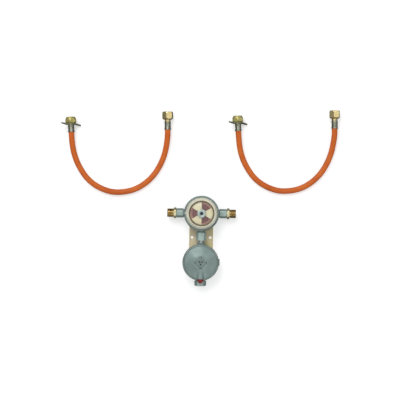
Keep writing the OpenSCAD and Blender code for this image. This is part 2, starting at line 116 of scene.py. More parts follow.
def rings_to_mesh(rings, closed):
    """Faces between rings of equal length; a ring of one point is a pole."""
    verts, starts, sizes = [], [], []
    for ring in rings:
        starts.append(len(verts))
        sizes.append(len(ring))
        verts.extend(ring)
    faces = []
    count = len(rings)
    for k in range(count if closed else count - 1):
        m = (k + 1) % count
        a, b, na, nb = starts[k], starts[m], sizes[k], sizes[m]
        n = max(na, nb)
        for j in range(n):
            i = (j + 1) % n
            if na == 1 and nb == 1:
                continue
            if na == 1:
                faces.append((a, b + i, b + j))
            elif nb == 1:
                faces.append((a + j, a + i, b))
            else:
                faces.append((a + j, a + i, b + i, b + j))
    return verts, faces


def ring(radius, height, angles):
    if np.isscalar(radius) and radius < 1e-6:
        return [(0.0, 0.0, float(np.mean(height)))]
    r = np.broadcast_to(radius, angles.shape)
    z = np.broadcast_to(height, angles.shape)
    return list(zip(r * np.cos(angles), r * np.sin(angles), z))


def circle_angles(n):
    return np.arange(n) * 2 * math.pi / n


def densify(profile, step, closed):
    out = []
    n = len(profile)
    for i in range(n if closed else n - 1):
        a, b = np.array(profile[i]), np.array(profile[(i + 1) % n])
        k = max(1, int(math.ceil(np.linalg.norm(b - a) / step)))
        out.extend(tuple(a + (b - a) * j / k) for j in range(k))
    if not closed:
        out.append(tuple(profile[-1]))
    return out


def lathe(name, profile, sides=128, radius=0.3, steps=4, turn=None, step=None):
    """Revolves a closed profile about Z. turn(x, y, z) may move the points."""
    closed = min(p[0] for p in profile) > 1e-6
    pts = fillet(profile, radius, steps)
    if not closed:
        zero = [i for i, p in enumerate(pts) if p[0] < 1e-6]
        first = next(i for i in zero if pts[(i + 1) % len(pts)][0] > 1e-6)
        pts = pts[first:] + pts[:first]
        last = next(i for i in range(1, len(pts)) if pts[i][0] < 1e-6)
        pts = pts[: last + 1]
    if step:
        pts = densify(pts, step, closed)
    angles = circle_angles(sides)
    verts, faces = rings_to_mesh([ring(r, z, angles) for r, z in pts], closed)
    verts = np.array(verts, float)
    if turn is not None:
        verts = turn(verts)
    return mesh_object(name, verts, faces)


def hex_radius(angles, af, roll=0.0, corner=0.35):
    """A hexagon's radius at each angle, its corners slightly rounded."""
    phi = (angles - math.radians(roll)) % (math.pi / 3) - math.pi / 6
    flat = af / 2 / np.cos(phi)
    top = af / math.sqrt(3) - corner
    k = 0.12
    return -k * np.log(np.exp(-flat / k) + np.exp(-(top + 0.06) / k)) + 0.0


def soft_min(a, b, k):
    h = np.clip(0.5 + 0.5 * (b - a) / k, 0, 1)
    return b * (1 - h) + a * h - k * h * (1 - h)


def hex_body(name, af, u0, u1, inner, roll=0.0, rear=None, front=None, sides=192):
    """A hexagon along Z with turned ends and an inner profile given as (r, u)
    from the front end to the rear end. rear and front are (face radius,
    chamfer length)."""
    angles = circle_angles(sides)
    rh = hex_radius(angles, af, roll)
    rc = af / math.sqrt(3) + 0.25
    c = (rc - af * 0.47) * 0.577
    rear = rear or (af * 0.47, c)
    front = front or (af * 0.47, c)
    rings = []
    def limit(u):
        out = rc + 1.0
        a = (u - u0) / rear[1]
        if a < 1:
            s = a if len(rear) < 3 else max(a, 0.0) ** rear[2]
            out = min(out, rear[0] + (rc - rear[0]) * s)
        b = (u1 - u) / front[1]
        if b < 1:
            s = b if len(front) < 3 else max(b, 0.0) ** front[2]
            out = min(out, front[0] + (rc - front[0]) * s)
        return out
    us = list(np.linspace(u0, u0 + rear[1], 14))
    us += list(np.linspace(u0 + rear[1], u1 - front[1], 8))[1:-1]
    us += list(np.linspace(u1 - front[1], u1, 16))
    for u in us:
        rings.append(ring(soft_min(rh, np.full_like(rh, limit(u)), 0.12), u, angles))
    for r, u in inner:
        rings.append(ring(r, u, angles))
    verts, faces = rings_to_mesh(rings, True)
    return mesh_object(name, verts, faces)


def thread(u0, u1, crest, pitch, depth, inward=False, sides=72, per=9):
    """Rings of a helical thread between u0 and u1."""
    angles = circle_angles(sides)
    n = int((u1 - u0) / pitch * per)
    rings = []
    for k in range(n + 1):
        u = u0 + (u1 - u0) * k / n
        phase = (u / pitch - angles / (2 * math.pi)) % 1.0
        tri = np.abs(phase * 2 - 1)
        shape = np.clip((tri - 0.12) / 0.76, 0, 1)
        fade = min(1.0, (u - u0) / pitch, (u1 - u) / pitch)
        fade = max(0.0, fade)
        if inward:
            r = crest + depth * (1 - shape) * fade
        else:
            r = crest - depth * (1 - shape) * (0.25 + 0.75 * fade) - 0.25 * (1 - fade)
        rings.append((r, np.full(sides, u)))
    return rings, angles


def xform(ob, matrix):
    ob.data.transform(matrix)
    if matrix.determinant() < 0:
        ob.data.flip_normals()
    ob.data.update()
    return ob


def shift(x, y, z):
    return Matrix.Translation(Vector((x, y, z)) * MM)


ALONG_X = Matrix.Rotation(math.radians(90), 4, "Y")
ALONG_Y = Matrix.Rotation(math.radians(-90), 4, "X")
AGAINST_Y = Matrix.Rotation(math.radians(90), 4, "X")
HALF_TURN = Matrix.Rotation(math.pi, 4, "Z")


def join(name, obs):
    """One object from several, in rest position."""
    bm = bmesh.new()
    for o in obs:
        bm.from_mesh(o.data)
    me = bpy.data.meshes.new(name)
    bm.to_mesh(me)
    bm.free()
    for o in obs:
        bpy.data.objects.remove(o)
    ob = bpy.data.objects.new(name, me)
    bpy.context.scene.collection.objects.link(ob)
    return ob


def boolean(ob, others, operation):
    """Applies boolean modifiers and leaves a plain mesh."""
    for other in others:
        m = ob.modifiers.new("cut", "BOOLEAN")
        m.operation = operation
        m.object = other
        try:
            m.solver = "MANIFOLD"
        except TypeError:
            m.solver = "EXACT"
        apply_modifiers(ob)
        bpy.data.objects.remove(other)
    return ob


def apply_modifiers(ob):
    dg = bpy.context.evaluated_depsgraph_get()
    dg.update()
    me = bpy.data.meshes.new_from_object(ob.evaluated_get(dg), depsgraph=dg)
    old = ob.data
    ob.modifiers.clear()
    ob.data = me
    bpy.data.meshes.remove(old)


def plate(name, loops, z0, z1, bevel=0.25, res=2):
    """A flat plate from closed outlines, the first the outside, with bevelled edges."""
    cu = bpy.data.curves.new(name, "CURVE")
    cu.dimensions = "2D"
    cu.fill_mode = "BOTH"
    for loop in loops:
        sp = cu.splines.new("POLY")
        sp.points.add(len(loop) - 1)
        for p, q in zip(sp.points, loop):
            p.co = (q[0] * MM, q[1] * MM, 0, 1)
        sp.use_cyclic_u = True
    cu.extrude = ((z1 - z0) / 2 - bevel) * MM
    cu.bevel_depth = bevel * MM
    cu.bevel_resolution = res
    cu.offset = -bevel * MM
    tmp = bpy.data.objects.new(name + "_c", cu)
    bpy.context.scene.collection.objects.link(tmp)
    dg = bpy.context.evaluated_depsgraph_get()
    dg.update()
    me = bpy.data.meshes.new_from_object(tmp.evaluated_get(dg), depsgraph=dg)
    bpy.data.objects.remove(tmp)
    bpy.data.curves.remove(cu)
    me.transform(shift(0, 0, (z0 + z1) / 2))
    ob = bpy.data.objects.new(name, me)
    bpy.context.scene.collection.objects.link(ob)
    tidy(ob, True, 30.0, 5e-6)
    return ob


def arc(cx, cy, r, a0, a1, n):
    return [(cx + r * math.cos(math.radians(a0 + (a1 - a0) * i / n)),
             cy + r * math.sin(math.radians(a0 + (a1 - a0) * i / n))) for i in range(n + 1)]


def circle(cx, cy, r, n=48):
    return arc(cx, cy, r, 0, 360 - 360 / n, n - 1)


def cast(name, node, voxel=0.6, smooth=6):
    """A cast piece: the CAD solid with every edge softened as a casting's is."""
    ob = bpy.data.objects.new(name, NODES[node].data.copy())
    bpy.context.scene.collection.objects.link(ob)
    ob.data.materials.clear()
    bm = bmesh.new()
    bm.from_mesh(ob.data)
    bmesh.ops.remove_doubles(bm, verts=bm.verts, dist=1e-6)
    bm.to_mesh(ob.data)
    bm.free()
    m = ob.modifiers.new("remesh", "REMESH")
    m.mode = "VOXEL"
    m.voxel_size = voxel * MM
    m.adaptivity = 0.0
    s = ob.modifiers.new("smooth", "SMOOTH")
    s.factor = 0.5
    s.iterations = smooth
    apply_modifiers(ob)
    for p in ob.data.polygons:
        p.use_smooth = True
    return ob


made = []
def show(ob, body, material, *nodes):
    """Puts a finished piece on its body in place of its CAD nodes."""
    ob.data.materials.clear()
    ob.data.materials.append(material)
    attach(ob, body)
    if nodes:
        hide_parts(*nodes)
    made.append(ob)
    return ob


# --------------------------------------------------------------- materials
def srgb(*c):
    return tuple(((v / 255 + 0.055) / 1.055) ** 2.4 if v > 10 else v / 255 / 12.92 for v in c) + (1.0,)


class Mat:
    """A node material. Object coordinates are metres in each piece's own rest place."""

    def __init__(self, name):
        self.m = bpy.data.materials.new(name)
        self.m.use_nodes = True
        self.t = self.m.node_tree
        self.b = self.t.nodes["Principled BSDF"]
        self.out = self.t.nodes["Material Output"]
        self.coord = self.add("ShaderNodeTexCoord").outputs["Object"]

    def add(self, kind, **values):
        n = self.t.nodes.new(kind)
        for k, v in values.items():
            setattr(n, k, v)
        return n

    def link(self, a, b):
        self.t.links.new(a, b)

    def stretch(self, x, y, z, rot=(0, 0, 0), source=None):
        n = self.add("ShaderNodeMapping")
        n.inputs["Scale"].default_value = (x, y, z)
        n.inputs["Rotation"].default_value = rot
        self.link(source or self.coord, n.inputs["Vector"])
        return n.outputs["Vector"]

    def noise(self, scale, detail=4.0, rough=0.55, vector=None, distort=0.0):
        n = self.add("ShaderNodeTexNoise")
        n.inputs["Scale"].default_value = scale
        n.inputs["Detail"].default_value = detail
        n.inputs["Roughness"].default_value = rough
        n.inputs["Distortion"].default_value = distort
        self.link(vector or self.coord, n.inputs["Vector"])
        return n.outputs["Fac"]

    def ramp(self, fac, stops):
        n = self.add("ShaderNodeValToRGB")
        els = n.color_ramp.elements
        while len(els) > 1:
            els.remove(els[-1])
        els[0].position, els[0].color = stops[0]
        for pos, col in stops[1:]:
            e = els.new(pos)
            e.color = col
        self.link(fac, n.inputs["Fac"])
        return n.outputs["Color"]

    def span(self, value, a, b, c, d, clamp=True):
        n = self.add("ShaderNodeMapRange", clamp=clamp)
        for i, v in zip(("From Min", "From Max", "To Min", "To Max"), (a, b, c, d)):
            n.inputs[i].default_value = v
        self.link(value, n.inputs["Value"])
        return n.outputs["Result"]

    def math(self, op, a, b=None):
        n = self.add("ShaderNodeMath", operation=op)
        for i, v in ((0, a), (1, b)):
            if v is None:
                continue
            if isinstance(v, (int, float)):
                n.inputs[i].default_value = v
            else:
                self.link(v, n.inputs[i])
        return n.outputs[0]

    def mix(self, fac, a, b, blend="MIX"):
        n = self.add("ShaderNodeMix", data_type="RGBA", blend_type=blend)
        for sock, v in ((n.inputs[0], fac), (n.inputs[6], a), (n.inputs[7], b)):
            if isinstance(v, (int, float)):
                sock.default_value = v
            elif isinstance(v, tuple):
                sock.default_value = v
            else:
                self.link(v, sock)
        return n.outputs[2]

    def edges(self, lo=0.5, hi=0.56):
        g = self.add("ShaderNodeNewGeometry")
        return self.span(g.outputs["Pointiness"], lo, hi, 0.0, 1.0)

    def bump(self, height, distance, strength=0.6, normal=None):
        n = self.add("ShaderNodeBump")
        n.inputs["Distance"].default_value = distance
        n.inputs["Strength"].default_value = strength
        self.link(height, n.inputs["Height"])
        if normal is not None:
            self.link(normal, n.inputs["Normal"])
        return n.outputs["Normal"]

    def set(self, **values):
        for k, v in values.items():
            sock = self.b.inputs[k.replace("_", " ")]
            if isinstance(v, (int, float, tuple)):
                sock.default_value = v
            else:
                self.link(v, sock)
        return self


def metal(name, base, dark, light, metallic=0.9, rough=0.35, spread=0.1, grain=900,
          grain_depth=0.00003, patch=70, wear=None, lines=None):
    """Metal with mottled tone, fine surface grain, uneven gloss and brighter edges."""
    m = Mat(name)
    big = m.noise(patch, 5, 0.6)
    col = m.ramp(big, [(0.30, dark), (0.5, base), (0.72, light)])
    fine = m.noise(grain, 6, 0.65)
    col = m.mix(m.span(fine, 0.35, 0.7, 0.0, 0.22), col, dark)
    if wear:
        col = m.mix(m.math("MULTIPLY", m.edges(), 0.75), col, wear)
    r = m.span(m.noise(patch * 2.3, 4), 0.3, 0.7, rough - spread, rough + spread)
    height = fine
    if lines:
        streak = m.noise(1.0, 3, 0.5, m.stretch(*lines))
        r = m.math("ADD", r, m.span(streak, 0.35, 0.65, -0.06, 0.06))
        height = m.math("ADD", m.math("MULTIPLY", fine, 0.6), m.math("MULTIPLY", streak, 0.7))
    m.set(Base_Color=col, Metallic=metallic, Roughness=r, Normal=m.bump(height, grain_depth, 0.7))
    return m.m


def plastic(name, base, dark, light, rough=0.38, grain=1500, depth=0.00002, patch=60,
            coat=0.0, subsurface=0.0):
    m = Mat(name)
    big = m.noise(patch, 4)
    col = m.ramp(big, [(0.28, dark), (0.5, base), (0.75, light)])
    fine = m.noise(grain, 5, 0.6)
    col = m.mix(m.span(fine, 0.4, 0.75, 0.0, 0.12), col, dark)
    m.set(Base_Color=col, Roughness=m.span(fine, 0.3, 0.7, rough - 0.07, rough + 0.07),
          Coat_Weight=coat, Normal=m.bump(fine, depth, 0.6))
    if subsurface:
        m.set(Subsurface_Weight=subsurface, Subsurface_Scale=0.002)
    return m.m


# zinc plate with the uneven yellow, pink and green of its passivation, and a painted highlight brightening its
# lower end
m = Mat("zinc_yellow")
wide = m.noise(26, 3, 0.5, distort=0.6)
pink = m.ramp(wide, [(0.30, srgb(232, 212, 198)), (0.5, srgb(222, 206, 178)),
                     (0.72, srgb(226, 212, 170))])
green = m.ramp(wide, [(0.30, srgb(228, 210, 174)), (0.5, srgb(220, 208, 150)),
                      (0.72, srgb(212, 206, 144))])
across = m.add("ShaderNodeSeparateXYZ")
m.link(m.coord, across.inputs[0])
tone = m.mix(m.span(m.math("ADD", across.outputs[0], m.math("MULTIPLY", wide, 0.03)),
                    0.002, 0.03, 0.0, 1.0), pink, green)
# painted highlight: the plate grows paler and brighter towards its lower end
tone = m.mix(m.span(across.outputs[1], 0.02, -0.03, 0.0, 0.55), tone, srgb(244, 230, 178))
fine = m.noise(700, 6, 0.7)
tone = m.mix(m.span(fine, 0.4, 0.7, 0.0, 0.2), tone, srgb(172, 154, 112))
streak = m.noise(1.0, 4, 0.55, m.stretch(900, 18, 300))
tone = m.mix(m.span(streak, 0.45, 0.75, 0.0, 0.3), tone, srgb(226, 212, 176))
tone = m.mix(m.math("MULTIPLY", m.edges(), 0.5), tone, srgb(232, 222, 196))
m.set(Base_Color=tone, Metallic=0.45,
      Roughness=m.span(wide, 0.3, 0.7, 0.36, 0.56),
      Normal=m.bump(m.math("ADD", streak, m.math("MULTIPLY", fine, 0.5)), 0.00003, 0.6))
ZINC = m.m

CAST = metal("cast_grey", srgb(140, 158, 156), srgb(126, 144, 142), srgb(154, 171, 168),
             metallic=0.32, rough=0.46, grain=650, grain_depth=0.00012, patch=42,
             wear=srgb(186, 198, 196))
COVER = metal("cover_grey", srgb(144, 164, 160), srgb(129, 149, 146), srgb(158, 177, 172),
              metallic=0.3, rough=0.43, grain=520, grain_depth=0.00009, patch=36,
              wear=None)
RIM = metal("rim_grey", srgb(128, 145, 141), srgb(106, 122, 119), srgb(150, 167, 163),
            metallic=0.5, rough=0.38, grain=700, grain_depth=0.00006, patch=50,
            wear=srgb(170, 184, 181))
PLATED = metal("plated_grey", srgb(166, 187, 181), srgb(138, 160, 154), srgb(192, 208, 202),
               metallic=0.5, rough=0.34, grain=1100, grain_depth=0.000015, patch=60,
               wear=srgb(222, 232, 228), lines=(2600, 2600, 160))
PLATED_BRIGHT = metal("plated_bright", srgb(192, 214, 207), srgb(164, 186, 180), srgb(214, 230, 224),
                      metallic=0.5, rough=0.34, grain=1100, grain_depth=0.000015, patch=60,
                      wear=srgb(228, 238, 234), lines=(2600, 2600, 160))
PAD = metal("pad_grey", srgb(129, 147, 144), srgb(115, 133, 130), srgb(143, 161, 157),
            metallic=0.3, rough=0.43, grain=520, grain_depth=0.00009, patch=36)
INK = plastic("ink", srgb(46, 54, 54), srgb(34, 40, 40), srgb(64, 72, 72), rough=0.6)
BRIGHT = metal("bright_steel", srgb(205, 211, 211), srgb(176, 184, 184), srgb(230, 234, 233),
               metallic=1.0, rough=0.22, grain=1500, grain_depth=0.00002, patch=110,
               wear=srgb(240, 242, 240), lines=(260, 3000, 260))
STEEL = metal("steel", srgb(180, 184, 184), srgb(150, 154, 154), srgb(206, 209, 208),
              metallic=1.0, rough=0.32, grain=1200, patch=120)
DARK_STEEL = metal("dark_steel", srgb(62, 70, 72), srgb(40, 46, 48), srgb(88, 98, 100),
                   metallic=0.8, rough=0.38, grain=1300, patch=160, wear=srgb(130, 142, 142))
BRASS = metal("brass", srgb(196, 168, 104), srgb(146, 120, 66), srgb(226, 202, 140),
              metallic=0.95, rough=0.28, grain=1200, grain_depth=0.000015, patch=70,
              wear=srgb(250, 238, 196), lines=(180, 2600, 180))
# a paler copy of the brass for the inlet nipples' hexagons, a painted highlight; the threads of the same nipple
# keep the darker brass
HEX_BRASS_PAINTED_HIGHLIGHT = metal("brass_hexagon_painted_highlight", srgb(250, 240, 196), srgb(220, 206, 154), srgb(254, 250, 220),
                  metallic=0.85, rough=0.3, grain=1200, grain_depth=0.000015, patch=80,
                  wear=srgb(252, 246, 218), lines=(2400, 160, 2400))
BRASS_PALE = metal("brass_bright", srgb(244, 224, 162), srgb(214, 190, 122), srgb(252, 240, 194),
                   metallic=0.95, rough=0.27, grain=1300, grain_depth=0.000015, patch=80,
                   wear=srgb(252, 242, 208), lines=(2400, 160, 2400))
OLIVE = metal("olive_passivate", srgb(196, 186, 112), srgb(160, 148, 76), srgb(220, 210, 144),
              metallic=0.7, rough=0.40, grain=900, grain_depth=0.00004, patch=75,
              wear=srgb(214, 206, 156))
WING = metal("wing_plate", srgb(104, 106, 80), srgb(74, 76, 50), srgb(130, 132, 102),
             metallic=0.7, rough=0.42, grain=900, grain_depth=0.00004, patch=85,
             wear=srgb(184, 184, 160))
FERRULE = metal("crimped_steel", srgb(156, 157, 136), srgb(112, 113, 92), srgb(190, 191, 172),
                metallic=0.95, rough=0.25, grain=1200, grain_depth=0.00003, patch=100,
                wear=srgb(234, 236, 230), lines=(140, 2200, 140))
IVORY = plastic("ivory", srgb(228, 227, 206), srgb(218, 216, 192), srgb(238, 237, 220),
                rough=0.36, coat=0.15, subsurface=0.06)
BLADE = plastic("ivory_blade", srgb(254, 244, 204), srgb(249, 236, 190), srgb(255, 250, 222),
                rough=0.42)
BROWN = plastic("brown_ring", srgb(112, 92, 62), srgb(84, 66, 42), srgb(140, 122, 88),
                rough=0.33, coat=0.3)
HUB = metal("hub_grey", srgb(196, 214, 206), srgb(166, 184, 176), srgb(216, 230, 224),
            metallic=0.45, rough=0.36, grain=1200, grain_depth=0.00003, patch=120,
            wear=srgb(224, 232, 232))
RED_PLUG = plastic("red_plug", srgb(136, 36, 35), srgb(108, 24, 24), srgb(158, 52, 48),
                   rough=0.36, coat=0.2)
RUBBER = plastic("black_rubber", srgb(40, 40, 42), srgb(26, 26, 28), srgb(58, 58, 60),
                 rough=0.62, depth=0.00004)
NYLON = plastic("nylon", srgb(62, 66, 66), srgb(46, 50, 50), srgb(80, 84, 84),
                rough=0.45)

# the disc behind the mask: red where it shows now, ivory between, ribbed
m = Mat("indicator")
sep = m.add("ShaderNodeSeparateXYZ")
m.link(m.stretch(1, 1, 1), sep.inputs[0])
x = m.math("ADD", sep.outputs[0], 0.0)
y = m.math("SUBTRACT", sep.outputs[1], 0.056)
angle = m.math("ARCTAN2", y, x)
wave = m.math("COSINE", m.math("MULTIPLY", m.math("SUBTRACT", angle, math.radians(60)), 3.0))
reach = m.math("SQRT", m.math("ADD", m.math("MULTIPLY", x, x), m.math("MULTIPLY", y, y)))
rim = m.span(reach, 0.0212, 0.0224, 0.0, 1.0)
grid = m.math("MAXIMUM",
              m.math("SINE", m.math("MULTIPLY", x, 4200.0)),
              m.math("SINE", m.math("MULTIPLY", y, 4200.0)))
cloud = m.noise(180, 4)
red = m.ramp(cloud, [(0.3, srgb(96, 28, 30)), (0.55, srgb(112, 34, 36)), (0.75, srgb(128, 46, 46))])
red = m.mix(m.span(grid, 0.2, 1.0, 0.0, 0.22), red, srgb(148, 68, 64))
red = m.mix(rim, red, srgb(196, 128, 118))
green = m.mix(m.span(cloud, 0.3, 0.7, 0.0, 0.4), srgb(96, 142, 84), srgb(120, 160, 104))
m.set(Base_Color=m.mix(m.span(wave, -0.02, 0.02, 0.0, 1.0), green, red),
      Roughness=0.5, Normal=m.bump(grid, 0.00006, 0.5))
DISC = m.m

# clear dome: mostly transparent, glossy by angle
m = Mat("clear_dome")
clear = m.add("ShaderNodeBsdfTransparent")
clear.inputs[0].default_value = (0.995, 0.997, 0.995, 1)
look = m.add("ShaderNodeLayerWeight")
look.inputs["Blend"].default_value = 0.22
smear = m.noise(220, 3)
m.set(Base_Color=(0.9, 0.93, 0.92, 1.0), Roughness=m.span(smear, 0.3, 0.7, 0.03, 0.09), IOR=1.49)
mixer = m.add("ShaderNodeMixShader")
m.link(m.span(look.outputs["Fresnel"], 0.0, 1.0, 0.05, 0.85), mixer.inputs[0])
m.link(clear.outputs[0], mixer.inputs[1])
m.link(m.b.outputs[0], mixer.inputs[2])
m.link(mixer.outputs[0], m.out.inputs["Surface"])
CLEAR = m.m

# orange hose rubber: cloth-wrapped when cured, so it keeps a faint weave
m = Mat("hose_rubber")
uv = m.add("ShaderNodeTexCoord").outputs["UV"]
def weave(rot):
    w = m.add("ShaderNodeTexWave", wave_type="BANDS", bands_direction="X", wave_profile="SIN")
    w.inputs["Scale"].default_value = 1.0
    w.inputs["Distortion"].default_value = 0.3
    m.link(m.stretch(9, 9, 1, (0, 0, rot), uv), w.inputs["Vector"])
    return w.outputs["Fac"]
cross = m.math("MULTIPLY", weave(math.radians(50)), weave(math.radians(-50)))
cloud = m.noise(34, 4, 0.6)
col = m.ramp(cloud, [(0.3, srgb(204, 94, 26)), (0.52, srgb(218, 106, 32)), (0.74, srgb(228, 120, 44))])
speck = m.noise(1400, 5, 0.7)
col = m.mix(m.span(speck, 0.45, 0.75, 0.0, 0.22), col, srgb(168, 70, 30))
scuff = m.noise(1.0, 4, 0.6, m.stretch(300, 300, 40))
col = m.mix(m.span(scuff, 0.62, 0.8, 0.0, 0.2), col, srgb(228, 146, 92))
# painted shade: where the surface turns away from straight up, towards the hose's sides and underside, the
# orange is darkened towards a deep brown
side_shade_normal = m.add("ShaderNodeSeparateXYZ")
m.link(m.add("ShaderNodeNewGeometry").outputs["Normal"], side_shade_normal.inputs[0])
col = m.mix(m.span(side_shade_normal.outputs[2], 0.72, 0.05, 0.0, 0.62), col, srgb(134, 54, 12))
m.set(Base_Color=col, Roughness=m.span(speck, 0.3, 0.7, 0.46, 0.62),
      Specular_IOR_Level=0.35,
      Normal=m.bump(m.math("ADD", m.math("MULTIPLY", cross, 0.6), m.math("MULTIPLY", speck, 0.5)),
                    0.00006, 0.5))
ORANGE = m.m

CAD_MATERIALS = {
    "bracket_screws": STEEL, "head_bonnet": CAST, "head_diaphragm": RUBBER,
    "head_plate": STEEL, "head_spring": STEEL, "selector_shaft": STEEL,
    "indicator_disc": DISC, "valve_cages": BRASS, "valve_left": RUBBER,
    "valve_right": RUBBER, "lever_left": STEEL, "lever_right": STEEL,
    "lever_pins": STEEL, "inlet_filters": BRASS, "union_seal": RUBBER,
    "second_diaphragm": RUBBER, "second_plate": STEEL, "second_spring": STEEL,
    "pressure_adjuster": NYLON, "second_cage": BRASS, "second_valve": RUBBER,
    "second_lever": STEEL, "second_lever_pin": STEEL, "left_seals": RUBBER,
    "right_seals": RUBBER,
}
for n, mat in CAD_MATERIALS.items():
    NODES[n].data.materials.clear()
    NODES[n].data.materials.append(mat)


# ------------------------------------------------------------------- hoses
LEFT_AT = (-191.7, 226.4, 0.0)
RIGHT_AT = (192.2, 236.2, 0.0)
LAY_TURN = 1.1
CYLINDER_END, CYLINDER_LEAN = (-111.0, 13.0, 14.0), 3.0
REGULATOR_END = (110.5, 18.5, 13.2)
HOSE_OD = 13.0
WING_ROLL, WING_BEND, NUT_ROLL = 25.0, 15.0, 20.0
ROUTE = [
    (-111, 13, 14), (-110.3, 0, 13.8), (-109, -14, 12.6), (-107, -28, 10.8),
    (-103.5, -42, 8.6), (-98.5, -56, 7.2), (-92, -69, 6.6), (-84, -82, 6.5),
    (-74.5, -94, 6.5), (-63, -104.5, 6.5), (-50, -113, 6.5), (-36, -119.5, 6.5),
    (-21, -124, 6.5), (-5.5, -125.5, 6.5), (10, -124.5, 6.5), (25.5, -121.5, 6.5),
    (40, -116, 6.5), (54, -108, 6.5), (66.5, -98, 6.5), (77.5, -86.5, 6.5),
    (86.5, -74, 6.5), (94, -60.5, 6.6), (100, -46.5, 7.1), (104.5, -32, 8.3),
    (107.5, -17.5, 10), (109.5, -4, 11.8), (110.4, 8, 13), (110.5, 18.5, 13.2),
]


def heading(degrees):
    """A direction in plan, turned from +Y."""
    a = math.radians(degrees)
    return np.array((-math.sin(a), math.cos(a), 0.0))


FIRST = -heading(CYLINDER_LEAN + LAY_TURN)
LAST = heading(LAY_TURN)


def natural_spline(points, first, last, step):
    """A cubic spline through the points with given end directions, evenly stepped."""
    p = np.array(points, float)
    n = len(p)
    t = np.concatenate([[0], np.cumsum(np.linalg.norm(np.diff(p, axis=0), axis=1))])
    h = np.diff(t)
    a = np.zeros((n, n))
    b = np.zeros((n, 3))
    a[0, 0] = a[-1, -1] = 1
    b[0], b[-1] = first, last
    for i in range(1, n - 1):
        a[i, i - 1], a[i, i], a[i, i + 1] = h[i], 2 * (h[i - 1] + h[i]), h[i - 1]
        b[i] = 3 * (h[i] * (p[i] - p[i - 1]) / h[i - 1] + h[i - 1] * (p[i + 1] - p[i]) / h[i])
    v = np.linalg.solve(a, b)
    out = []
    for i in range(n - 1):
        k = max(2, int(round(h[i] / step)))
        for j in range(k):
            s = j / k
            out.append((2 * s**3 - 3 * s**2 + 1) * p[i] + (s**3 - 2 * s**2 + s) * h[i] * v[i]
                       + (-2 * s**3 + 3 * s**2) * p[i + 1] + (s**3 - s**2) * h[i] * v[i + 1])
    out.append(p[-1])
    return np.array(out)


def hose_mesh(name, path, radius, sides=48):
    n = len(path)
    d = np.gradient(path, axis=0)
    d[0], d[-1] = FIRST, LAST
    d /= np.linalg.norm(d, axis=1)[:, None]
    side = np.cross(d, (0, 0, 1.0))
    side /= np.linalg.norm(side, axis=1)[:, None]
    up = np.cross(side, d)
    run = np.concatenate([[0], np.cumsum(np.linalg.norm(np.diff(path, axis=0), axis=1))])
    ang = np.arange(sides) * 2 * math.pi / sides + math.pi
    verts = (path[:, None, :] + radius * (np.sin(ang)[None, :, None] * side[:, None, :]
                                          + np.cos(ang)[None, :, None] * up[:, None, :]))
    verts = verts.reshape(-1, 3)
    faces = []
    for i in range(n - 1):
        for j in range(sides):
            k = (j + 1) % sides
            faces.append((i * sides + j, i * sides + k, (i + 1) * sides + k, (i + 1) * sides + j))
    faces.append(tuple(range(sides - 1, -1, -1)))
    faces.append(tuple((n - 1) * sides + j for j in range(sides)))
    me = bpy.data.meshes.new(name)
    me.from_pydata([tuple(v) for v in verts * MM], [], faces)
    uv = me.uv_layers.new(name="UVMap").data
    girth = 2 * math.pi * radius
    for f in me.polygons[: (n - 1) * sides]:
        i, j = divmod(f.index, sides)
        for q, li in enumerate(f.loop_indices):
            jj = j + (1 if q in (1, 2) else 0)
            ii = i + (1 if q in (2, 3) else 0)
            uv[li].uv = (jj / sides, run[ii] / girth)
    ob = bpy.data.objects.new(name, me)
    bpy.context.scene.collection.objects.link(ob)
    bm = bmesh.new()
    bm.from_mesh(me)
    bmesh.ops.recalc_face_normals(bm, faces=bm.faces)
    for f in bm.faces:
        f.smooth = len(f.verts) == 4
    bm.to_mesh(me)
    bm.free()
    return ob


def lay(at):
    return shift(*at) @ Matrix.Rotation(math.radians(LAY_TURN), 4, "Z")


def at_cylinder(at):
    return (lay(at) @ shift(*CYLINDER_END)
            @ Matrix.Rotation(math.radians(CYLINDER_LEAN), 4, "Z") @ ALONG_Y)


def at_regulator(at):
    return lay(at) @ shift(*REGULATOR_END) @ ALONG_Y


def ferrule(name, length, sides=144):
    """A crimped sleeve: three bands pressed in by eight jaws between soft ridges."""
    g = (length - 6) / 3
    outer = [(8.15, 0.05), (8.2, 0.5), (8.05, 1.0), (7.5, 1.8), (7.2, 2.4)]
    for k in range(2):
        z = 1.8 + g * (k + 1) + 0.5 * k
        outer += [(7.2, z - 0.3), (7.1, z), (6.78, z + 0.4), (6.7, z + 0.8),
                  (6.7, z + 1.2), (6.78, z + 1.6), (7.1, z + 2.0), (7.2, z + 2.3)]
    outer += [(7.2, length - 1.3), (7.05, length - 0.6), (6.6, length)]
    inner = [(5.3, length), (5.05, length - 0.25), (5.05, length - 4), (3.15, length - 4),
             (3.15, 0.05)]
    angles = circle_angles(sides)
    jaw = np.abs(np.cos(4 * angles)) ** 3
    rings = []
    for r, z in densify(outer, 0.35, False):
        grip = min(1.0, max(0.0, (z - 3.0) / 1.2), max(0.0, (length - 1.6 - z) / 1.0))
        rings.append(ring(r - 0.16 * grip * jaw, z, angles))
    for r, z in inner:
        rings.append(ring(r, z, angles))
    return mesh_object(name, *rings_to_mesh(rings, True), angle=45)


def screw_in(u0, u1, crest, sides, pitch=1.5, depth=0.75):
    rings, _ = thread(u0, u1, crest, pitch, depth, True, sides)
    return [(r, float(u[0])) for r, u in reversed(rings)]


def cylinder_nut(name):
    inner = ([(9.7, 34.6), (9.4, 34.3), (9.1, 33.95)] + screw_in(27.0, 33.8, 9.1, 192, 1.8)
             + [(9.1, 26.6), (9.6, 26.4), (9.6, 22.9), (6.15, 22.9), (6.15, 17.0),
                (6.4, 16.8), (7.7, 16.8), (8.0, 17.1), (8.0, 19.8)])
    return hex_body(name, 24.0, 19.8, 34.6, inner, 30.0, rear=(10.0, 3.3),
                    front=(9.86, 10.0, 0.85))


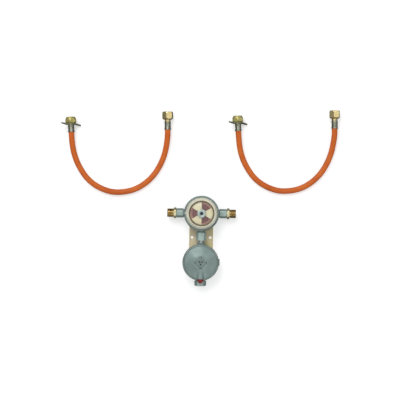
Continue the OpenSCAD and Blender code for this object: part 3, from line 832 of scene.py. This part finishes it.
def regulator_nut(name):
    inner = ([(10.1, 41), (9.3, 40.2)] + screw_in(32.6, 40.0, 9.2, 192)
             + [(9.2, 32.1), (9.6, 32), (9.6, 28.5), (5.6, 28.5), (5.6, 23.3), (5.9, 23)])
    return hex_body(name, 23.0, 23.0, 41.0, inner, NUT_ROLL, rear=(9.6, 3.2),
                    front=(11.43, 5.0, 0.85))


def hand_wings(name, at):
    tip = 48.0 / 2 - 5
    half = [(9.1, -6.3)] + arc(tip, 0, 5, -90, 90, 18) + [(9.1, 6.3)]
    a = math.degrees(math.atan2(6.3, 9.1))
    outline = arc(0, 0, 11.0, -180 + a + 6, -a - 6, 26) + half
    outline += arc(0, 0, 11.0, a + 6, 180 - a - 6, 26) + [(-x, -y) for x, y in half]
    ob = plate(name, [outline, circle(0, 0, 8.05, 96)], 16.8, 19.4, 0.45, 3)
    bm = bmesh.new()
    bm.from_mesh(ob.data)
    for x in (8.7, 8.9, 9.1, 9.4, 9.8, 10.3, 10.9, 13.0, 16.0, 19.0, 21.5):
        for s in (-1, 1):
            bmesh.ops.bisect_plane(bm, geom=bm.verts[:] + bm.edges[:] + bm.faces[:], dist=1e-7,
                                   plane_co=(s * x * MM, 0, 0), plane_no=(1, 0, 0))
    for v in bm.verts:
        s = 1 if v.co.x > 0 else -1
        d = abs(v.co.x) / MM - 9
        if d > 0:
            ease = min(1.0, d / 1.6)
            t = math.radians(WING_BEND) * ease * -s
            z = v.co.z / MM - 16.8
            v.co.x = s * (9 + d * math.cos(t) - z * math.sin(t)) * MM
            v.co.z = (16.8 + z * math.cos(t) + d * math.sin(t)) * MM
    bm.to_mesh(ob.data)
    bm.free()
    tidy(ob, True, 32.0, 1e-6)
    xform(ob, Matrix.Rotation(math.radians(WING_ROLL), 4, "Z"))
    return xform(ob, at_cylinder(at))


def cylinder_tail(name):
    return lathe(name, [(2.4, 0.2), (3.1, 0.2), (3.1, 12.1), (5, 12.1), (5, 16.2), (6, 16.2, 0.25),
                        (6, 23), (8.8, 23, 0.3), (8.8, 25.2, 0.2), (2.4, 25.2, 0.3)], 96, 0.0)


def regulator_tail(name):
    inner = [(5.5, 22.6), (5.5, 28.6), (8.9, 28.6), (8.9, 30.2), (8.7, 30.4), (2.8, 30.4),
             (2.4, 30.0), (2.4, 0.4), (3.1, 0.2), (3.1, 13.6), (5, 13.6), (5, 17.7)]
    return hex_body(name, 12.0, 17.7, 22.6, inner, 0.0, sides=144)


for side, at in (("left", LEFT_AT), ("right", RIGHT_AT)):
    route = [tuple(lay(at) @ (Vector(p) * MM) / MM) for p in ROUTE]
    path = natural_spline(route, FIRST, LAST, 2.2)
    floor_z = HOSE_OD / 2
    path[:, 2] = np.maximum(path[:, 2], floor_z)
    hose = hose_mesh(f"{side}_hose_tube", path, HOSE_OD / 2)
    show(hose, f"{side}_hose_set", ORANGE, f"{side}_hose")
    crimps = join(f"{side}_crimped_ferrules", [
        xform(ferrule("a", 16.0), at_cylinder(at)), xform(ferrule("b", 17.5), at_regulator(at))])
    show(crimps, f"{side}_hose_set", FERRULE, f"{side}_ferrules")
    tail_a = xform(cylinder_tail("a"), at_cylinder(at))
    tail_b = xform(regulator_tail("b"), at_regulator(at))
    tails = join(f"{side}_hose_tails", [tail_a, tail_b])
    show(tails, f"{side}_hose_set", BRASS_PALE, f"{side}_tails")
    nut = xform(cylinder_nut(f"{side}_bottle_nut"), at_cylinder(at))
    show(nut, f"{side}_hand_nut", OLIVE, f"{side}_cylinder_nut")
    wings = hand_wings(f"{side}_wings", at)
    show(wings, f"{side}_hand_nut", WING, f"{side}_hand_wings")
    spanner = xform(regulator_nut(f"{side}_union_nut"), at_regulator(at))
    show(spanner, f"{side}_spanner_nut", BRASS_PALE, f"{side}_regulator_nut")

# --------------------------------------------------------------- regulator
HEAD, SECOND = (0.0, 56.0, 0.0), (0.0, -56.0, 0.0)
AXIS_Z = 20.0
at_head = shift(*HEAD)
at_second = shift(*SECOND)
head_axis = shift(0, 56, AXIS_Z)
second_axis = shift(0, -56, AXIS_Z)


def turned(name, profile, where, sides=160, radius=0.35, steps=4):
    return xform(lathe(name, profile, sides, radius, steps), where)


# bracket
def rounded(w, l, r, n=10):
    out = []
    for sx, sy, a in ((1, 1, 0), (-1, 1, 90), (-1, -1, 180), (1, -1, 270)):
        out += arc(sx * (w / 2 - r), sy * (l / 2 - r), r, a, a + 90, n)
    return out


screw_places = [(0, 74), (0, 38), (18, -56), (-18, -56)]
bracket = plate("wall_plate", [rounded(55, 158, 7)] + [circle(s * 21.3, 0, 3.25, 56) for s in (-1, 1)]
                + [circle(x, y, 2.7, 40) for x, y in screw_places], 0.0, 2.5, 0.35, 3)
sinks = [xform(lathe("sink", [(0, -1), (6.7, -1), (4.9, 0), (2.7, 2.2), (0, 2.2)], 48, 0), shift(x, y, -0.01))
         for x, y in screw_places]
boolean(bracket, sinks, "DIFFERENCE")
tidy(bracket, True, 30)
show(bracket, "regulator", ZINC, "bracket")

# changeover head
body = cast("changeover_body", "head_body", 0.55, 5)
show(body, "regulator", CAST, "head_body")
band = turned("head_rim", [(37.05, 29.5), (39.2, 29.5), (40.2, 30.5, 0.9), (40.2, 40.8, 1.2),
                           (39.2, 42.9, 1.2), (38.2, 43.3, 0.8), (36.4, 43.3, 0.3), (36.4, 40.55),
                           (38.55, 40.55), (38.55, 30.95), (37.05, 30.95)], at_head, 224, 0.25)
show(band, "regulator", RIM, "head_clamp_ring")


def knob():
    """The selector's skirt with its pointer nib."""
    prof = [(31.65, 43.6), (35.8, 43.6, 0.4), (35.9, 44.8, 0.6), (33, 55.2, 1.6), (31.9, 57.2, 1.0),
            (30.6, 58.1, 0.8), (29.1, 58.1, 0.25), (29.1, 53.8), (27, 53.8, 0.1), (27, 51.8),
            (31.65, 51.8)]
    skirt = lathe("knob", prof, 224, 0.2, 5)
    nib_pts = [(-33.5, 43.75), (-37.6, 43.75), (-37.95, 44.1), (-37.95, 45.2), (-37.6, 45.9),
               (-34.4, 50.1), (-33.5, 50.5)]
    rows = []
    for w, inset in ((-1.95, 0.45), (-1.7, 0.12), (-1.2, 0.0), (1.2, 0.0), (1.7, 0.12), (1.95, 0.45)):
        cx, cz = -35.5, 46.5
        rows.append([(x + (cx - x) * inset * 0.12, w, z + (cz - z) * inset * 0.12) for x, z in nib_pts])
    verts, faces = rings_to_mesh(rows, False)
    n = len(nib_pts)
    faces += [tuple(range(n)), tuple(range(5 * n + n - 1, 5 * n - 1, -1))]
    nib = mesh_object("nib", verts, faces)
    boolean(skirt, [nib], "UNION")
    tidy(skirt, True, 35)
    return skirt


ring_ob = xform(knob(), at_head)
ring_ob.name = "selector_skirt"
show(ring_ob, "selector", IVORY, "selector_ring")
bezel = turned("window_bezel", [(27.2, 53.85), (29.05, 53.85), (29.05, 58.2, 0.5), (28.4, 58.9, 0.5),
                                (27.2, 58.9, 0.5), (26.4, 58, 0.4), (26.4, 56.9, 0.15), (27.2, 56.9)],
               at_head, 224, 0.1)
show(bezel, "selector", BROWN, "lens_bezel")
dome = turned("clear_window", [(9.75, 57.9), (9.75, 59.5), (14, 59.4, 8), (19, 58.9, 10), (23, 58.1, 8),
                               (26.3, 56.85, 1), (27.1, 56.85, 0.2), (27.1, 55.1), (25.4, 55.1),
                               (25.2, 55.5), (22.4, 56.6, 8), (18.6, 57.4, 8), (14, 57.85, 8)],
              at_head, 192, 0.1, 6)
show(dome, "selector", CLEAR, "lens")
cap = turned("window_hub", [(1.7, 57.05), (9.65, 57.05), (9.65, 59.6, 0.5), (8.9, 60.4, 0.6),
                            (6.8, 60.6, 0.3), (6.2, 59.8, 0.3), (5.6, 60.2, 0.25), (4.3, 60.2, 0.15),
                            (4.3, 58), (1.7, 58)], at_head, 128, 0.1)
show(cap, "selector", HUB, "hub_cap")


def socket_screw():
    """A turned head with a six-sided recess."""
    n = 96
    angles = circle_angles(n)
    outer = fillet([(0, 51), (1.55, 51, 0.2), (1.55, 58.05), (4.1, 58.05, 0.15), (4.1, 60, 0.3),
                    (3.7, 60.4, 0.3), (0, 60.4)], 0.0, 4)
    outer = [p for p in outer if not (p[0] < 1e-6 and p[1] > 60)]
    rings = [ring(r, z, angles) for r, z in outer]
    hexa = 2.3 * math.cos(math.pi / 6) / np.cos(angles % (math.pi / 3) - math.pi / 6)
    rings += [ring(hexa + 0.22, 60.4, angles), ring(hexa, 60.15, angles), ring(hexa, 58.9, angles),
              ring(0.0, 58.75, angles)]
    start = next(i for i, q in enumerate(rings) if len(q) == 1)
    rings = rings[start:]
    return mesh_object("socket_screw", *rings_to_mesh(rings, False), angle=35)


screw = xform(socket_screw(), at_head)
show(screw, "selector", DARK_STEEL, "hub_screw")


def mask():
    loops = [circle(0, 0, 26.2, 160), circle(0, 0, 4.4, 48)]
    for a in (60, 180, 300):
        loops.append(arc(0, 0, 25.2, a - 29.8, a + 29.8, 30) + arc(0, 0, 9.8, a + 29.3, a - 29.3, 14))
    face = plate("mask_face", loops, 53.0, 54.9, 0.2, 2)
    hub = lathe("mask_hub", [(4.4, 51.55), (8.1, 51.55, 0.2), (8.1, 53.4), (4.4, 53.4)], 96, 0.0)
    return join("window_mask", [face, hub])


blades = xform(mask(), at_head)
show(blades, "selector", BLADE, "sector_mask")

# inlets
def adapter(name):
    inner = [(7.35, 57.5), (7.05, 57.2), (7.05, 50.2), (3, 50.2), (3, 33.3), (5.95, 33.3), (5.95, 41.05)]
    return hex_body(name, 19.0, 41.05, 57.5, inner, 30.0, sides=144)


def nipple(name):
    rings, _ = thread(65.4, 77.4, 10.0, 1.5, 0.9, False, 192, 12)
    screw = [(r, float(u[0])) for r, u in rings]
    inner = ([(8.7, 64.3), (8.7, 65.3)] + screw
             + [(9.4, 78.0), (9.0, 78.5), (8.8, 78.6), (6.7, 78.6), (6.4, 78.4), (4.1, 75.7),
                (4, 75.4), (4, 50.4), (6.8, 50.4), (7, 50.6), (7, 57.6)])
    return hex_body(name, 22.0, 57.6, 64.2, inner, 30.0)


to_right = head_axis @ ALONG_X
to_left = head_axis @ HALF_TURN @ ALONG_X
pair = join("inlet_unions", [xform(adapter("a"), to_left), xform(adapter("b"), to_right)])
show(pair, "regulator", PLATED, "inlet_adapters")
for name, node, where in (("left_inlet", "inlet_nipple_left", to_left),
                          ("right_inlet", "inlet_nipple_right", to_right)):
    ob = xform(nipple(name), where)
    show(ob, "regulator", BRASS, node)
    # painted highlight: each nipple's hexagon gets the paler brass copy
    ob.data.materials.append(HEX_BRASS_PAINTED_HIGHLIGHT)
    for p in ob.data.polygons:
        if abs(p.center.x) < 64.25 * MM:
            p.material_index = 1

# union between the stages
down_head = head_axis @ AGAINST_Y
nut = xform(hex_body("stage_union_nut", 20.8, 43.5, 63.0,
                     [(6.9, 63.0), (6.6, 62.7), (6.6, 59.4), (8.4, 59.4), (8.4, 43.9), (8.8, 43.5)]), down_head)
show(nut, "regulator", PLATED_BRIGHT, "union_nut")
tail = turned("stage_union_tail", [(3.5, 55.1), (8.3, 55.1, 0.3), (8.3, 59.3, 0.3), (6.5, 59.3),
                                   (6.5, 78.6, 0.3), (3.5, 78.6, 0.2)], down_head, 96, 0.0)
show(tail, "regulator", BRIGHT, "union_tail")

# second stage
body = cast("outlet_stage_body", "second_body", 0.55, 5)
show(body, "regulator", CAST, "second_body")
def block(x0, x1, y0, y1, z0, z1):
    return mesh_object("block", [(x, y, z) for x in (x0, x1) for y in (y0, y1) for z in (z0, z1)],
                       [(0, 1, 3, 2), (4, 6, 7, 5), (0, 4, 5, 1), (2, 3, 7, 6), (0, 2, 6, 4),
                        (1, 5, 7, 3)])


def soften(ob, voxel, smooth):
    m = ob.modifiers.new("remesh", "REMESH")
    m.mode = "VOXEL"
    m.voxel_size = voxel * MM
    s = ob.modifiers.new("smooth", "SMOOTH")
    s.factor = 0.5
    s.iterations = smooth
    apply_modifiers(ob)
    for p in ob.data.polygons:
        p.use_smooth = True


def stage_cover():
    """A shallow cone running to a flat pad, with the vent's round rib on its lower side."""
    vent = shift(0, 0, 43.9) @ AGAINST_Y
    cone = lathe("outlet_stage_cover", [
        (33, 37.2), (39.5, 37.2), (39.5, 40.5), (37.3, 40.5), (37.3, 42), (17.2, 51.6), (16, 52.4),
        (9.05, 52.4), (9.05, 44), (11.5, 44), (11.5, 49.8), (15, 49.8), (33, 41.2)], 192, 0)
    rib = xform(lathe("rib", [(0, 15.7), (7.6, 15.7), (7.6, 37.5), (0, 37.5)], 96, 0), vent)
    boolean(rib, [block(-10, 10, -40, -2, 40.9, 60.9)], "INTERSECT")
    boolean(cone, [rib], "UNION")
    boolean(cone, [xform(lathe("bore", [(0, 29), (5.65, 29), (5.65, 37.5), (6.6, 37.5), (6.6, 43.5),
                                        (0, 43.5)], 96, 0), vent),
                   xform(lathe("bore", [(0, 13), (1.5, 13), (1.5, 30), (0, 30)], 48, 0), vent)],
            "DIFFERENCE")
    soften(cone, 0.42, 5)
    arcs = []
    for i in range(4):
        a = 90 * i
        arcs.append(plate("groove", [arc(0, 0, 13.7, a - 15, a + 15, 14)
                                     + arc(0, 0, 12.3, a + 15, a - 15, 14)], 51.75, 53.5, 0.05, 1))
    boolean(cone, arcs, "DIFFERENCE")
    return cone


cover = xform(stage_cover(), at_second)
show(cover, "regulator", COVER, "second_cover")
cover.data.materials.append(INK)
for p in cover.data.polygons:
    c = (p.center - Vector((0, -0.056, 0))) / MM
    if 12.1 < math.hypot(c.x, c.y) < 13.9 and 51.5 < c.z < 52.0 and p.normal.z > 0.5:
        p.material_index = 1


def notched_band():
    band = lathe("second_rim", [(37.9, 29.5), (40.4, 29.5), (41.5, 30.5, 0.9), (41.5, 40.8, 1.3),
                                (40.2, 42.6, 1.4), (38.8, 42.9, 0.8), (37.45, 42.8, 0.3),
                                (37.45, 40.55), (39.55, 40.55), (39.55, 30.95), (37.9, 30.95)],
                 224, 0.25)
    boolean(band, [block(-8, 8, -46, -30, 37.1, 47.1)], "DIFFERENCE")
    tidy(band, True, 35)
    return band


band = xform(notched_band(), at_second)
show(band, "regulator", RIM, "second_clamp_ring")


def breather_cap():
    """The cap over the adjuster, with three breather holes round its centre."""
    cap = lathe("breather_cap", [(0, 50.5), (8.9, 50.5, 0.3), (8.9, 52.45), (11, 52.45, 0.1),
                                 (11, 53.1, 0.35), (10.4, 53.5, 0.6), (0, 53.5)], 128, 0.0, 5)
    drills = []
    for a in (30, 150, 270):
        x, y = 3.5 * math.cos(math.radians(a)), 3.5 * math.sin(math.radians(a))
        drills.append(xform(lathe("drill", [(0, 50), (1.7, 50), (1.7, 53.2), (2.05, 54), (0, 54)], 40, 0),
                            shift(x, y, 0)))
    boolean(cap, drills, "DIFFERENCE")
    tidy(cap, True, 35)
    return cap


cap = xform(breather_cap(), at_second)
show(cap, "top_cap", PAD, "adjuster_cap")

down_second = second_axis @ AGAINST_Y
inner = ([(8.35, 54.4), (7.6, 53.6)] + screw_in(44.4, 53.4, 7.5, 192, 1.34, 0.8)
         + [(7.5, 43.6), (5, 43.6), (5, 34.6), (6.7, 34.6), (7, 34.9), (7, 41.8)])
outlet = xform(hex_body("outlet_socket", 24.0, 41.8, 54.4, inner), down_second)
show(outlet, "regulator", PLATED, "outlet_fitting")
plug = xform(hex_body("test_port_plug", 14.0, 38.6, 43.4, [(0.0, 43.4), (0.0, 34.0), (5, 34), (5, 38.6)],
                      30.0, sides=144), shift(0, -56, 16) @ ALONG_X)
show(plug, "regulator", PLATED, "port_plug")
stopper = turned("red_vent_plug", [(0, 30), (5.2, 30, 0.3), (5.6, 30.6, 0.4), (5.6, 37.6), (6.5, 37.6, 0.4),
                                   (6.5, 42.6, 1.2), (2.4, 46.8, 0.8), (0, 46.8)],
                 shift(0, -56, 43.9) @ AGAINST_Y, 96, 0.0, 6)
show(stopper, "red_plug", RED_PLUG, "vent_plug")

# ---------------------------------------------------------- floor and light
floor_me = bpy.data.meshes.new("floor")
floor_me.from_pydata([(-6, -6, 0), (6, -6, 0), (6, 6, 0), (-6, 6, 0)], [], [(0, 1, 2, 3)])
floor = bpy.data.objects.new("floor", floor_me)
bpy.context.scene.collection.objects.link(floor)
floor.location.z = -0.0002
m = Mat("pale_floor")
m.set(Base_Color=m.ramp(m.noise(6, 3), [(0.3, (0.86, 0.865, 0.86, 1)), (0.7, (0.875, 0.875, 0.87, 1))]),
      Roughness=0.95, Specular_IOR_Level=0.1, Emission_Color=(1, 1, 1, 1), Emission_Strength=0.42)
floor.data.materials.append(m.m)
floor.visible_glossy = False


def softbox(name, place, target, size, power, colour=(1, 1, 1)):
    data = bpy.data.lights.new(name, "AREA")
    data.shape = "RECTANGLE"
    data.size, data.size_y = size
    data.energy = power
    data.color = colour
    ob = bpy.data.objects.new(name, data)
    ob.location = place
    ob.rotation_euler = (Vector(target) - Vector(place)).to_track_quat("-Z", "Y").to_euler()
    bpy.context.scene.collection.objects.link(ob)


softbox("key", (-0.75, 1.65, 2.3), (0, 0.05, 0), (1.7, 1.7), 32)
softbox("fill", (1.7, 1.1, 1.6), (0, 0.05, 0), (1.4, 1.4), 5)
softbox("front", (0.1, -1.9, 1.3), (0, 0.05, 0), (1.6, 0.7), 5)

world = bpy.data.worlds.new("studio")
bpy.context.scene.world = world
world.use_nodes = True
wt = world.node_tree
sky = wt.nodes.new("ShaderNodeTexCoord")
split = wt.nodes.new("ShaderNodeSeparateXYZ")
shade = wt.nodes.new("ShaderNodeValToRGB")
wt.links.new(sky.outputs["Generated"], split.inputs[0])
wt.links.new(split.outputs[2], shade.inputs["Fac"])
els = shade.color_ramp.elements
els[0].position, els[0].color = 0.0, (0.16, 0.165, 0.165, 1)
els[1].position, els[1].color = 0.9, (1.0, 1.0, 1.0, 1)
e = els.new(0.45)
e.color = (0.55, 0.56, 0.56, 1)
wt.links.new(shade.outputs["Color"], wt.nodes["Background"].inputs["Color"])
wt.nodes["Background"].inputs["Strength"].default_value = 0.62

view = bpy.context.scene.view_settings
view.view_transform = "Standard"
view.look = "None"
view.exposure = 0.0
view.gamma = 1.0
